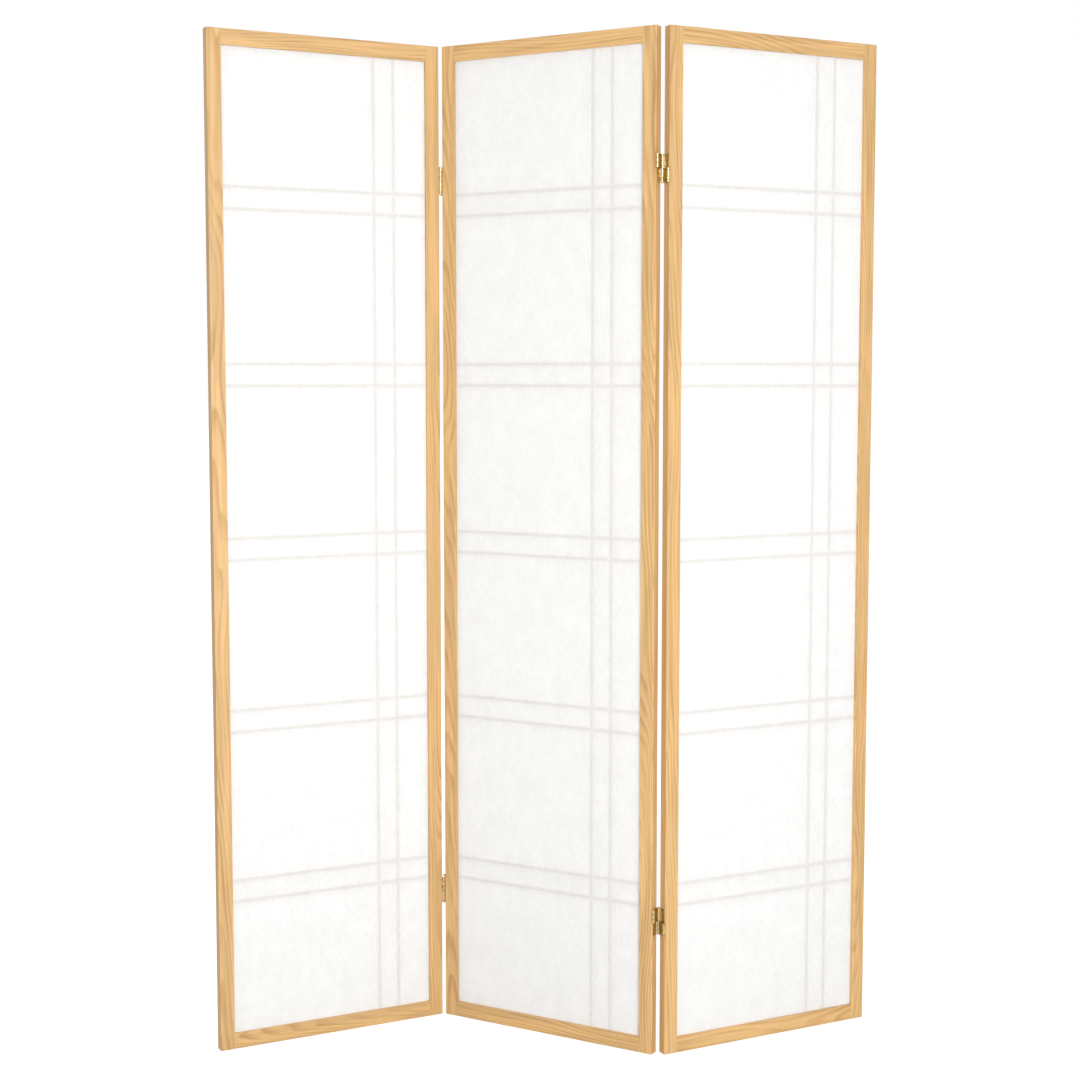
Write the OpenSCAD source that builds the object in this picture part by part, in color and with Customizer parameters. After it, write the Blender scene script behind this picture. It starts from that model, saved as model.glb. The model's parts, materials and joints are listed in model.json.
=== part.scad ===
// Three-panel folding shoji screen on two-way hinges.
// Z is up. The paper side of the screen faces -Y and the lattice side +Y. The origin is on the floor,
// under the centre of the middle panel.

/* [Panels] */
// Height of a panel
panel_h = 1784; // [1400:1:2100]
// Width of a panel
panel_w = 432; // [340:1:600]
// Thickness of the frame
frame_t = 18; // [17:0.5:30]
// Width of a stile
stile_w = 26; // [22:0.5:50]
// Height of the top and bottom rails
rail_h = 28; // [22:0.5:60]
// Chamfer along the outer edges of the frame
arris = 0.8; // [0.3:0.1:1.5]

/* [Paper] */
// Depth of the paper behind the paper-side face of the frame
paper_inset = 5.5; // [3:0.5:8]
// Thickness of the paper
paper_t = 0.5; // [0.3:0.1:1]
// How far the paper's edges and the bars' ends are let into the frame
let_in = 4; // [2:0.5:6]

/* [Lattice] */
// Width of a bar
bar_w = 6; // [4:0.5:12]
// Depth of a bar, from the paper towards the lattice side
bar_d = 10; // [6:0.5:11]
// Pairs of cross bars
cross_pairs = 5; // [2:1:8]
// Distance between the centres of the two bars of a pair of cross bars
cross_gap = 38; // [20:1:60]
// Height of the lowest pair's centre above the floor, and of the top pair's below the top
cross_from_end = 284; // [150:1:350]
// Distance between the centres of the two upright bars
upright_gap = 38; // [20:1:60]
// Distance of the upright pair's centre from the panel's right end, seen from the paper side
upright_from_end = 106; // [80:1:140]

/* [Joinery] */
// Thickness of the rails' tenons
tenon_t = 6; // [4:0.5:8]
// Length of a tenon
tenon_l = 18; // [10:0.5:20]
// Width of the shoulder over and under a tenon
tenon_shoulder = 6; // [6:0.5:8]
// Glue gap around a tenon
glue_gap = 0.1; // [0.05:0.05:0.2]
// Gap beyond the end of a tenon
tenon_end_gap = 1; // [0.5:0.5:2]
// Gap at the sides of a half-lap, and around a bar's let-in end
lap_fit = 0.1; // [0.05:0.05:0.2]
// Gap on each face of the paper in its groove
paper_fit = 0.05; // [0.02:0.01:0.1]

/* [Folds] */
// Angle of each fold from straight, as the screen stands
fold_deg = 57.5; // [0:0.5:120]
// Gap between two panels that stand in line
panel_gap = 5.6; // [5.2:0.1:7]
// How far the hinge pins' axes stand out beyond the faces of the frame
pin_proud = 0.5; // [0.4:0.1:1]

/* [Hinges] */
// Height of a hinge
hinge_h = 48; // [40:1:80]
// Distance of each hinge's centre from the panel's nearer end
hinge_from_end = 238; // [120:1:400]
// Thickness of a leaf
leaf_t = 0.9; // [0.8:0.1:1]
// Thickness of a link plate
link_t = 0.9; // [0.8:0.1:1.2]
// Clearance of a knuckle beside the edge of a panel
knuckle_clear = 0.3; // [0.2:0.05:0.4]
// Radius of a pin
pin_r = 1.5; // [1:0.1:1.6]
// Radial clearance of a pin in its knuckles
pin_fit = 0.05; // [0.03:0.01:0.09]
// Gap between two knuckles on one pin
knuckle_gap = 0.3; // [0.2:0.1:0.5]
// Gap between the upper and the lower half of a hinge
half_gap = 0.4; // [0.3:0.1:0.8]
// Clearance of a plate's edge beside another plate's knuckle
edge_clear = 0.3; // [0.3:0.1:0.6]
// Height of the short knuckles at the ends of the long barrel
short_knuckle = 3.2; // [2.5:0.1:5]
// How far the edge of a pin's head is set back from its knuckle's edge
pin_head_setback = 0.4; // [0.2:0.1:0.6]
// Height of a pin's head
pin_head_h = 0.6; // [0.4:0.1:1]
// Gap under the head of a centre pin
pin_head_gap = 0.1; // [0.05:0.05:0.2]

/* [Screws] */
// Radius of a screw's countersunk head
head_r = 2; // [1.8:0.1:2.4]
// Radius of a screw's shank
shank_r = 1.1; // [0.8:0.1:1.3]
// Length of a screw
screw_l = 12; // [8:0.5:16]
// Length of a screw's point
point_l = 2.5; // [1.5:0.5:4]
// Clearance around a screw in its leaf and in its pilot hole
screw_fit = 0.05; // [0.02:0.01:0.1]
// Distance of the outer screws above and below the hinge's centre
outer_screw_z = 17; // [14:0.5:18]
// Distance of the inner screws above and below the hinge's centre
inner_screw_z = 7; // [4:0.5:9]
// Distance of a screw from the middle of the frame's thickness
screw_stagger = 3; // [0:0.5:4]
// Width of the cross slot in a screw's head
slot_w = 0.6; // [0.4:0.1:0.8]
// Length of the cross slot
slot_l = 2.2; // [1.6:0.1:2.4]
// Depth of the cross slot
slot_d = 0.5; // [0.3:0.1:0.7]

/* [Hidden] */
$fn = 48;
PANELS = ["left", "middle", "right"];
FOLDS = ["left", "right"];
HEIGHTS = ["upper", "lower"];

over = 1;                                   // overshoot of a cut beyond a surface

// Panel
paper_back = paper_inset + paper_t;         // where the bars' paper-side faces lie
bar_end = stile_w - let_in;                 // where a cross bar begins
let_in_gap = 2 * lap_fit;                   // gap beyond a let-in end
cross_step = (panel_h - 2 * cross_from_end) / (cross_pairs - 1);
upright_centre = panel_w - upright_from_end;
tenon_v = (frame_t - tenon_t) / 2;
function cross_z(n) = [for (s = [-1, 1]) cross_from_end + (n - 1) * cross_step + s * cross_gap / 2];
all_cross_z = [for (n = [1:cross_pairs]) each cross_z(n)];
upright_u = [for (s = [-1, 1]) upright_centre + s * upright_gap / 2];

// Folds, in the middle panel's own frame. A fold towards the paper side turns on the paper-side pins,
// and a fold towards the lattice side turns on the centre pin.
left_gap_u = -panel_gap / 2;
right_gap_u = panel_w + panel_gap / 2;
hinge_z = [hinge_from_end, panel_h - hinge_from_end];

// Hinge, standing straight: the middle of the gap is x = 0, the paper side's face y = 0
half_low = half_gap / 2;
half_high = hinge_h / 2;
knuckle_r = panel_gap / 2 - knuckle_clear;
plate_low = knuckle_r + edge_clear - pin_proud;
plate_high = frame_t - plate_low;
even_knuckle = (half_high - half_low - 2 * knuckle_gap) / 3;
screw_spots = [for (s = [-1, 1]) each [
    [frame_t / 2 - screw_stagger, s * outer_screw_z],
    [frame_t / 2 + screw_stagger, s * inner_screw_z]
]];
head_slope = (head_r - shank_r) / leaf_t;
pilot_depth = screw_l - leaf_t + over;

SPRUCE = "#EFC48C";
BAR_SPRUCE = "#E6BC86";
PAPER = "#F8F7F4";
BRASS = "#B58A45";
SCREW_BRASS = "#A98852";

// ---- where things stand ----

// Puts what is drawn in the middle panel's own frame in its place in the row.
module in_row()
    rotate([0, 0, -fold_deg / 2]) translate([-panel_w / 2, -frame_t / 2, 0]) children();

// Turns what follows about an upright axis.
module about(axis, angle)
    translate(axis) rotate([0, 0, angle]) translate(-axis) children();

module at_middle_panel() in_row() children();

module at_left_panel()
    in_row() about([left_gap_u, -pin_proud, 0], fold_deg)
        translate([-panel_gap - panel_w, 0, 0]) children();

module at_right_panel()
    in_row() about([right_gap_u, frame_t + pin_proud, 0], fold_deg)
        translate([panel_w + panel_gap, 0, 0]) children();

module at_panel(p) {
    if (p == "left") at_left_panel() children();
    if (p == "middle") at_middle_panel() children();
    if (p == "right") at_right_panel() children();
}

// The four places in a hinge. The left fold is bent on its paper-side pins, so its links stand at half
// the angle. The right fold is bent on its centre pin, so each link stays with its own leaf.
module at_hinge(fold, height, piece) {
    left_turn = piece == "left_leaf" ? fold_deg : piece == "right_leaf" ? 0 : fold_deg / 2;
    right_turn = piece == "left_leaf" || piece == "left_link" ? 0 : fold_deg;
    z = height == "upper" ? hinge_z[1] : hinge_z[0];
    in_row() {
        if (fold == "left")
            about([left_gap_u, -pin_proud, 0], left_turn) translate([left_gap_u, 0, z]) children();
        if (fold == "right")
            about([right_gap_u, frame_t + pin_proud, 0], right_turn)
                translate([right_gap_u, 0, z]) children();
    }
}

// ---- panel ----

// The left stile, with its free edge at u = 0. A right stile is its mirror image.
module stile(hinged) {
    color(SPRUCE) difference() {
        linear_extrude(panel_h)
            polygon([[arris, 0], [stile_w, 0], [stile_w, frame_t], [arris, frame_t],
                     [0, frame_t - arris], [0, arris]]);
        // groove for the paper's edge
        translate([bar_end - let_in_gap, paper_inset - paper_fit, rail_h - let_in - let_in_gap])
            cube([let_in + let_in_gap + over, paper_t + 2 * paper_fit,
                  panel_h - 2 * (rail_h - let_in - let_in_gap)]);
        // housings for the cross bars' ends
        for (z = all_cross_z)
            translate([bar_end - let_in_gap, paper_back, z - bar_w / 2 - lap_fit])
                cube([let_in + let_in_gap + over, bar_d + lap_fit, bar_w + 2 * lap_fit]);
        // mortises for the rails
        for (z = [tenon_shoulder, panel_h - rail_h + tenon_shoulder])
            translate([stile_w - tenon_l - tenon_end_gap, tenon_v - glue_gap, z - glue_gap])
                cube([tenon_l + tenon_end_gap + over, tenon_t + 2 * glue_gap,
                      rail_h - 2 * tenon_shoulder + 2 * glue_gap]);
        // pilot holes for the hinge screws
        if (hinged)
            for (h = hinge_z, s = screw_spots)
                translate([-over, s.x, h + s.y]) rotate([0, 90, 0])
                    cylinder(r = shank_r + screw_fit, h = pilot_depth + over);
    }
}

module left_stile(p) stile(p != "left");

module right_stile(p)
    translate([panel_w, 0, 0]) mirror([1, 0, 0]) stile(p != "right");

// The bottom rail with its two tenons. The top rail is its mirror image.
module bottom_rail() {
    color(SPRUCE) difference() {
        union() {
            translate([stile_w, 0, 0]) rotate([90, 0, 90]) linear_extrude(panel_w - 2 * stile_w)
                polygon([[arris, 0], [frame_t - arris, 0], [frame_t, arris], [frame_t, rail_h],
                         [0, rail_h], [0, arris]]);
            translate([stile_w - tenon_l, tenon_v, tenon_shoulder])
                cube([panel_w - 2 * (stile_w - tenon_l), tenon_t, rail_h - 2 * tenon_shoulder]);
        }
        translate([stile_w - over, paper_inset - paper_fit, rail_h - let_in - let_in_gap])
            cube([panel_w - 2 * (stile_w - over), paper_t + 2 * paper_fit,
                  let_in + let_in_gap + over]);
        for (u = upright_u)
            translate([u - bar_w / 2 - lap_fit, paper_back, rail_h - let_in - let_in_gap])
                cube([bar_w + 2 * lap_fit, bar_d + lap_fit, let_in + let_in_gap + over]);
    }
}

module top_rail() translate([0, 0, panel_h]) mirror([0, 0, 1]) bottom_rail();

module paper() {
    color(PAPER) translate([bar_end, paper_inset, rail_h - let_in])
        cube([panel_w - 2 * bar_end, paper_t, panel_h - 2 * (rail_h - let_in)]);
}

// One pair of cross bars, cut away on the lattice side where the upright bars pass.
module cross_bars(n) {
    color(BAR_SPRUCE) for (z = cross_z(n)) difference() {
        translate([bar_end, paper_back, z - bar_w / 2]) cube([panel_w - 2 * bar_end, bar_d, bar_w]);
        for (u = upright_u)
            translate([u - bar_w / 2 - lap_fit, paper_back + bar_d / 2, z - bar_w / 2 - over])
                cube([bar_w + 2 * lap_fit, bar_d / 2 + over, bar_w + 2 * over]);
    }
}

// The pair of upright bars, cut away on the paper side where the cross bars pass.
module upright_bars() {
    color(BAR_SPRUCE) for (u = upright_u) difference() {
        translate([u - bar_w / 2, paper_back, rail_h - let_in])
            cube([bar_w, bar_d, panel_h - 2 * (rail_h - let_in)]);
        for (z = all_cross_z)
            translate([u - bar_w / 2 - over, paper_back - over, z - bar_w / 2 - lap_fit])
                cube([bar_w + 2 * over, bar_d / 2 + over, bar_w + 2 * lap_fit]);
    }
}

// ---- hinge ----

// The left leaf, on the left-hand panel's edge, with its two knuckles on the paper-side pin of the
// upper half. A right leaf is the same turned upside down, with its knuckles in the lower half.
module leaf(knuckle_h) {
    color(BRASS) difference() {
        union() {
            translate([-panel_gap / 2, plate_low, -half_high])
                cube([leaf_t, plate_high - plate_low, hinge_h]);
            for (z = [half_low, half_high - knuckle_h]) translate([0, -pin_proud, z]) {
                cylinder(r = knuckle_r, h = knuckle_h);
                translate([-panel_gap / 2, 0, 0])
                    cube([leaf_t, pin_proud + plate_low + over, knuckle_h]);
            }
        }
        translate([0, -pin_proud, half_low - over])
            cylinder(r = pin_r + pin_fit, h = half_high - half_low + 2 * over);
        for (s = screw_spots) translate([-panel_gap / 2 + leaf_t, s.x, s.y]) rotate([0, 90, 0]) {
            translate([0, 0, -leaf_t])
                cylinder(r1 = shank_r + screw_fit, r2 = head_r + screw_fit + over * head_slope,
                         h = leaf_t + over);
            translate([0, 0, -leaf_t - over]) cylinder(r = shank_r + screw_fit, h = 2 * over);
        }
    }
}

// The left link, in the upper half. Its knuckle on the paper-side pin lies between those of the leaf,
// and on the centre pin it has as many even knuckles as asked. A right link is turned upside down.
module link(leaf_knuckle_h, centre_knuckles) {
    paper_low = half_low + leaf_knuckle_h + knuckle_gap;
    paper_high = half_high - leaf_knuckle_h - knuckle_gap;
    centre_step = (half_high - half_low + knuckle_gap) / centre_knuckles;
    centre_h = centre_step - knuckle_gap;
    color(BRASS) difference() {
        union() {
            translate([-link_t / 2, plate_low, half_low])
                cube([link_t, plate_high - plate_low, half_high - half_low]);
            translate([0, -pin_proud, paper_low]) {
                cylinder(r = knuckle_r, h = paper_high - paper_low);
                translate([-link_t / 2, 0, 0])
                    cube([link_t, pin_proud + plate_low + over, paper_high - paper_low]);
            }
            for (k = [0:centre_knuckles - 1])
                translate([0, frame_t + pin_proud, half_low + k * centre_step]) {
                    cylinder(r = knuckle_r, h = centre_h);
                    translate([-link_t / 2, -pin_proud - plate_low - over, 0])
                        cube([link_t, pin_proud + plate_low + over, centre_h]);
                }
        }
        for (y = [-pin_proud, frame_t + pin_proud]) translate([0, y, half_low - over])
            cylinder(r = pin_r + pin_fit, h = half_high - half_low + 2 * over);
    }
}

module upside_down() rotate([0, 180, 0]) children();

module left_leaf() leaf(even_knuckle);
module right_leaf() upside_down() leaf(short_knuckle);
module left_link() link(even_knuckle, 1);
module right_link() upside_down() link(short_knuckle, 3);

module hinge_piece(piece) {
    if (piece == "left_leaf") left_leaf();
    if (piece == "left_link") left_link();
    if (piece == "right_link") right_link();
    if (piece == "right_leaf") right_leaf();
}

// A paper-side pin in the upper half, with its head on the top knuckle.
module side_pin() {
    color(BRASS) translate([0, -pin_proud, 0]) {
        translate([0, 0, half_low]) cylinder(r = pin_r, h = half_high - half_low);
        translate([0, 0, half_high]) cylinder(r = knuckle_r - pin_head_setback, h = pin_head_h);
    }
}

// The pin between the two links, with a head at each end.
module centre_pin() {
    reach = half_high + pin_head_gap;
    color(BRASS) translate([0, frame_t + pin_proud, 0]) {
        translate([0, 0, -reach]) cylinder(r = pin_r, h = 2 * reach);
        for (z = [-reach - pin_head_h, reach])
            translate([0, 0, z]) cylinder(r = knuckle_r - pin_head_setback, h = pin_head_h);
    }
}

// One countersunk wood screw, its head's face at z = 0 and its point below.
module screw() {
    color(SCREW_BRASS) difference() {
        rotate_extrude()
            polygon([[0, 0], [head_r, 0], [shank_r, -leaf_t], [shank_r, point_l - screw_l],
                     [0, -screw_l]]);
        for (a = [0, 90]) rotate([0, 0, a])
            translate([-slot_l / 2, -slot_w / 2, -slot_d]) cube([slot_l, slot_w, slot_d + over]);
    }
}

// The four screws of a left leaf, driven into the left-hand panel's edge.
module leaf_screws()
    for (s = screw_spots)
        translate([-panel_gap / 2 + leaf_t, s.x, s.y]) rotate([0, 90, 0]) screw();

// ---- what each panel carries in its hinges ----

module panel_pins(p) {
    for (h = HEIGHTS) {
        if (p != "right")
            at_hinge(p == "left" ? "left" : "right", h, "left_leaf") side_pin();
        if (p != "left")
            at_hinge(p == "middle" ? "left" : "right", h, "right_leaf") upside_down() side_pin();
    }
}

module panel_screws(p) {
    for (h = HEIGHTS) {
        if (p != "right")
            at_hinge(p == "left" ? "left" : "right", h, "left_leaf") leaf_screws();
        if (p != "left")
            at_hinge(p == "middle" ? "left" : "right", h, "right_leaf") upside_down() leaf_screws();
    }
}

// The centre pins go with the left link of each hinge.
module centre_pins(f) for (h = HEIGHTS) at_hinge(f, h, "left_link") centre_pin();

for (p = PANELS) {
    at_panel(p) left_stile(p);
    at_panel(p) right_stile(p);
    at_panel(p) top_rail();
    at_panel(p) bottom_rail();
    at_panel(p) paper();
    for (n = [1:cross_pairs])
        at_panel(p) cross_bars(n);
    at_panel(p) upright_bars();
    panel_pins(p);
    panel_screws(p);
}
for (f = FOLDS) {
    centre_pins(f);
    for (h = HEIGHTS, piece = ["left_leaf", "left_link", "right_link", "right_leaf"])
        at_hinge(f, h, piece) hinge_piece(piece);
}
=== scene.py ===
"""A three-panel folding shoji screen: the finish of every piece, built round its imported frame.

A panel has its own coordinates: u along its width, v from its paper side to its lattice side, z up.
A wooden member has its own too: a along its length, b from its outer edge to its inner face, and c
through its thickness. All lengths are in metres.
"""

import json
import math

import bmesh
import bpy
import numpy as np
from bpy.props import FloatProperty, FloatVectorProperty, IntProperty, PointerProperty
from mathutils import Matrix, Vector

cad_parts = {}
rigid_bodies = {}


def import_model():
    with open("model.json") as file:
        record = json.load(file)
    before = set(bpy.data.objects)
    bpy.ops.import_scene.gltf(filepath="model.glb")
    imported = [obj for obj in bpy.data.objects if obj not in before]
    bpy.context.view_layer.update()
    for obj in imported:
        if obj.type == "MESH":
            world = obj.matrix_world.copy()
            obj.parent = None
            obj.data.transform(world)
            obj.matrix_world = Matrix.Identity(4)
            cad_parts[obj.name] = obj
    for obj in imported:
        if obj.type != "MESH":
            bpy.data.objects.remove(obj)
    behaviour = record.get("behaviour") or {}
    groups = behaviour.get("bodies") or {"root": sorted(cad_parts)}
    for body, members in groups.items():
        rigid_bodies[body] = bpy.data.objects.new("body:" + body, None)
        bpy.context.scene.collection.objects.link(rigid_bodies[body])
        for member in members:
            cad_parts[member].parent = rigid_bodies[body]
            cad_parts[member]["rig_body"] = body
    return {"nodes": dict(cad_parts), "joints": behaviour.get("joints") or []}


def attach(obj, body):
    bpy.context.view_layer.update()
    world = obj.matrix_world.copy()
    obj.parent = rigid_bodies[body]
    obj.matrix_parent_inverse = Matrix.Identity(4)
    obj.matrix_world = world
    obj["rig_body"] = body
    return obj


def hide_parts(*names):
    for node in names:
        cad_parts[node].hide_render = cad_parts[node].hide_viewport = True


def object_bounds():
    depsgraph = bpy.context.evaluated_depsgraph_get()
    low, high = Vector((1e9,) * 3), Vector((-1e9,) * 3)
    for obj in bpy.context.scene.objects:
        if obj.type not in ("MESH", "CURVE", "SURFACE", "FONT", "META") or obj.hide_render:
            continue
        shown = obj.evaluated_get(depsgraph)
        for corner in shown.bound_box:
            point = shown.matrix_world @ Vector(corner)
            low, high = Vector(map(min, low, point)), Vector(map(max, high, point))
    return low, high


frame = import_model()
cad_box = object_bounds()

bl_info = {
    "name": "Folding Shoji Screen",
    "version": (1, 0, 0),
    "blender": (4, 5, 0),
    "location": "View3D > Sidebar > Shoji",
    "description": "Builds the finished pieces of a three-panel folding shoji screen round its frame",
    "category": "Add Mesh",
}

PANELS = ("left", "middle", "right")
FOLDS = ("left", "right")
HEIGHTS = ("upper", "lower")
HINGE_PIECES = ("left_leaf", "left_link", "right_link", "right_leaf")

# fits of the joinery
GLUE_GAP = 0.0001       # round a tenon in its mortise
TENON_END_GAP = 0.001   # beyond a tenon's end
BAR_FIT = 0.0001        # round a bar's end in its housing, and beside a half-lap
PAPER_FIT = 0.00005     # on each face of the paper in its groove
LET_IN_GAP = 0.0002     # beyond the paper's edge and a bar's end

# building of surfaces
HAIR = 1e-7             # half the distance between the two lines of a step in a surface
MERGE = 1e-6            # vertices nearer than this are one
BEYOND = 0.01           # how far a cut runs past the surface that it opens
SHARP_ANGLE = math.radians(32)
FLAT_ANGLE = math.radians(1)
ROUND_STEPS = 4         # faces in a quarter circle
SHEET_LINES = 25        # lines across a sheet of paper
KNUCKLE_RADIUS = 0.0025
RIM_SLACK = 0.00003     # how far off that radius a rim's vertices may lie
RIM_STEPS = 3           # faces across a knuckle's rounded rim
EDGE_STEPS = 2          # faces across an eased edge

# where a board lay in its log
HEART_ACROSS = (-0.045, 0.02)   # from the board's free edge to the log's heart
HEART_AWAY = (0.02, 0.05)       # from the board's face to the heart
LEAN_ACROSS = (-0.015, 0.015)   # how far the heart leans across the board in each metre
LEAN_AWAY = (0.02, 0.045)       # and to or from its face
LOG_LENGTH = 10

# the look of wood, paper and brass
WAVE_PERIOD = math.tau / 20     # the repeat of a wave texture at scale 1
SWAY_RATE = 2.2                 # how often a heart sways in a metre
SWAY_SIZE = 0.05                # how far
RING_PEAK = 0.9                 # the share of a ring at which late wood is darkest
STRAND_WIDTH = 0.012            # how near a strand's noise is to its middle value
BAR_CORE = 0.65                 # the share of a bar's half width in which its painted shade is full
BAR_BLUR = 1.45                 # the share at which the painted shade has gone
FIBRE_RELIEF = 0.00015
PULP_RELIEF = 0.0001
TARNISH_RELIEF = 0.00005

# the studio
WHITE = (1, 1, 1, 1)
FLOOR_WHITE = (0.6, 0.6, 0.6, 1)
FLOOR_GLOW = 0.6                # light that only the camera sees, so that the floor is white
FLOOR_RADII = (1.5, 6.0, 40.0)
FLOOR_CORNERS = 96
LIGHT_SIZE = 2.4
SENSOR_WIDTH = 36


# ---- the frame's own places ----

def corners_of(node):
    """The vertices of a CAD node, a row each."""
    mesh = frame["nodes"][node].data
    spots = np.empty(3 * len(mesh.vertices), np.float32)
    mesh.vertices.foreach_get("co", spots)
    return spots.reshape(-1, 3).astype(float)


def turned(spots, angle):
    """Points turned about Z: x cos - y sin, x sin + y cos, and z as it was."""
    c, s = math.cos(angle), math.sin(angle)
    return spots @ np.array([[c, s, 0.0], [-s, c, 0.0], [0.0, 0.0, 1.0]])


def heading(panel):
    """The angle of a panel's width from +X, which is the main axis of its paper seen from above."""
    flat = np.unique(corners_of(f"{panel}_panel_paper")[:, :2].round(5), axis=0)
    along = np.linalg.svd(flat - flat.mean(0))[2][0]
    return math.atan(along[1] / along[0])


HEADING = {panel: heading(panel) for panel in PANELS}


def place(panel, name):
    """The lowest and highest corners of a panel's node in the panel's coordinates."""
    spots = turned(corners_of(f"{panel}_panel_{name}"), -HEADING[panel])
    return np.array([spots.min(0), spots.max(0)])


def parted(panel, name, axis):
    """The boxes of a node's two like solids, which lie side by side along an axis."""
    low, high = place(panel, name)
    levels = turned(corners_of(f"{panel}_panel_{name}"), -HEADING[panel])[:, axis]
    middle = (low[axis] + high[axis]) / 2
    first, second = np.array([low, high]), np.array([low, high])
    first[1, axis] = levels[levels < middle].max()
    second[0, axis] = levels[levels > middle].min()
    return [first, second]


def cross_bar_boxes(panel):
    """Each cross bar's box, with its node's name, from the floor up."""
    names = sorted(n for n in frame["nodes"] if n.startswith(f"{panel}_panel_cross_bars_"))
    return {n.removeprefix(f"{panel}_panel_"): parted(panel, n.removeprefix(f"{panel}_panel_"), 2)
            for n in names}


def upright_boxes(panel):
    """The two upright bars' boxes."""
    return parted(panel, "upright_bars", 0)


# ---- wooden members ----

class Way:
    """How a member lies in its panel: where a, b and c are nought, and which way each runs."""

    def __init__(self, origin, a, b, c):
        self.origin = np.array(origin, float)
        self.axes = np.array([a, b, c], float)

    def into(self, spots):
        """Panel coordinates as (a, b, c)."""
        return (np.asarray(spots) - self.origin) @ self.axes.T

    def out(self, spots):
        """(a, b, c) as panel coordinates."""
        return np.asarray(spots) @ self.axes + self.origin

    def box(self, corners):
        """A box in panel coordinates as the lowest and highest (a, b, c)."""
        ends = self.into(corners)
        return ends.min(0), ends.max(0)


def stepped(low, high, edges):
    """Lines from low to high, in order, with two lines a hair apart at each edge between them."""
    inner = np.array([edge for edge in edges if low < edge < high])
    return np.unique(np.concatenate([[low, high], inner - HAIR, inner + HAIR]))


def section(width, thickness, outer_round, inner_round, face_lines):
    """The (b, c) outline of a member: quarter circles at its four corners, large ones on the outer edge
    and small ones on the inner face, and between the small ones a point at each line of the face."""
    radius = np.array([outer_round, outer_round, inner_round, inner_round])
    middle_b = np.where([True, True, False, False], radius, width - radius)
    middle_c = np.where([True, False, False, True], radius, thickness - radius)
    middles = np.stack([middle_b, middle_c], -1)[:, None]
    start = np.radians([270, 180, 90, 0])[:, None]
    angle = start - np.linspace(0, math.pi / 2, ROUND_STEPS + 1)
    corners = middles + radius[:, None, None] * np.stack([np.cos(angle), np.sin(angle)], -1)
    lines = face_lines[(face_lines > inner_round) & (face_lines < thickness - inner_round)][::-1]
    face = np.stack([np.full(len(lines), width), lines], -1)
    return np.concatenate([corners[:3].reshape(-1, 2), face, corners[3]])


def member_grid(length, width, thickness, rounds, cuts=(), tenon=None, end_round=0.0):
    """A member's surface as a grid: its outline carried from a = 0 to its length.

    Inside a cut, b is no more than the cut's floor. Beyond the shoulders, b and c are held in the
    tenon's section. Within the end round's radius e of an end, at the distance d from it, the outline
    is drawn in by e less the root of (e squared less (e - d) squared), a quarter circle."""
    edges = [line for low, high, _ in cuts for line in (low[0], high[0])]
    if tenon:
        edges += list(tenon["shoulders"])
    lines = stepped(0, length, edges)
    if end_round:
        curve = end_round * (1 - np.cos(np.linspace(0, math.pi / 2, ROUND_STEPS + 1)))
        lines = np.unique(np.concatenate([lines, curve, length - curve]))
    face_lines = stepped(0, thickness, [line for low, high, _ in cuts for line in (low[1], high[1])])
    outline = section(width, thickness, *rounds, face_lines)
    grid = np.empty((len(lines), len(outline), 3))
    grid[..., 0] = lines[:, None]
    grid[..., 1:] = outline
    for low, high, floor in cuts:
        along = (lines > low[0]) & (lines < high[0])
        across = (outline[:, 1] > low[1]) & (outline[:, 1] < high[1])
        inside = along[:, None] & across
        grid[..., 1] = np.where(inside, np.minimum(grid[..., 1], floor), grid[..., 1])
    if tenon:
        beyond = (lines < tenon["shoulders"][0]) | (lines > tenon["shoulders"][1])
        grid[beyond, :, 1:] = np.clip(grid[beyond, :, 1:], tenon["low"], tenon["high"])
    if end_round:
        near = np.minimum(np.minimum(lines, length - lines), end_round)
        drawn_in = end_round - np.sqrt(end_round**2 - (end_round - near) ** 2)
        middle = np.array([width, thickness]) / 2
        grid[..., 1:] = middle + (grid[..., 1:] - middle) * (1 - drawn_in[:, None, None] / middle)
    return grid


def cut_for(way, box, fit, end_gap):
    """The cut that a piece with this box needs in a member's inner face: its (a, c) reach, grown by the
    fit, and the floor of the cut in b, past the piece's end by the end gap."""
    low, high = way.box(box)
    return (low[[0, 2]] - fit, high[[0, 2]] + fit, low[1] - end_gap)


def surface_mesh(name, grids):
    """A mesh of closed tubes. Each grid has a ring of points on each row: quads join neighbouring rows,
    and a face closes each end. Doubled points are merged and the faces turned outwards."""
    spots, faces, start = [], [], 0
    for grid in grids:
        rings, around = grid.shape[:2]
        index = start + np.arange(rings * around).reshape(rings, around)
        beside = np.roll(index, -1, 1)
        quads = np.stack([index[:-1], index[1:], beside[1:], beside[:-1]], -1).reshape(-1, 4)
        faces += quads.tolist() + [index[0].tolist(), index[-1].tolist()]
        spots.append(grid.reshape(-1, 3))
        start += rings * around
    mesh = bpy.data.meshes.new(name)
    mesh.from_pydata(np.concatenate(spots).tolist(), [], faces)
    tidy_mesh(mesh)
    return mesh


def tidy_mesh(mesh):
    """Merges doubled vertices, drops what has no area and turns the faces outwards."""
    work = bmesh.new()
    work.from_mesh(mesh)
    bmesh.ops.remove_doubles(work, verts=work.verts, dist=MERGE)
    bmesh.ops.dissolve_degenerate(work, edges=work.edges, dist=MERGE)
    bmesh.ops.recalc_face_normals(work, faces=work.faces)
    work.to_mesh(mesh)
    work.free()
    mesh.shade_smooth()
    mesh.set_sharp_from_angle(angle=SHARP_ANGLE)


def finish_piece(mesh, name, body, slot, nodes, *materials):
    """Makes the mesh a piece that rides on a body and stands for its CAD nodes."""
    piece = bpy.data.objects.new(name, mesh)
    bpy.context.scene.collection.objects.link(piece)
    for material in materials:
        mesh.materials.append(material)
    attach(piece, body)
    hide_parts(*nodes)
    return piece


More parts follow.
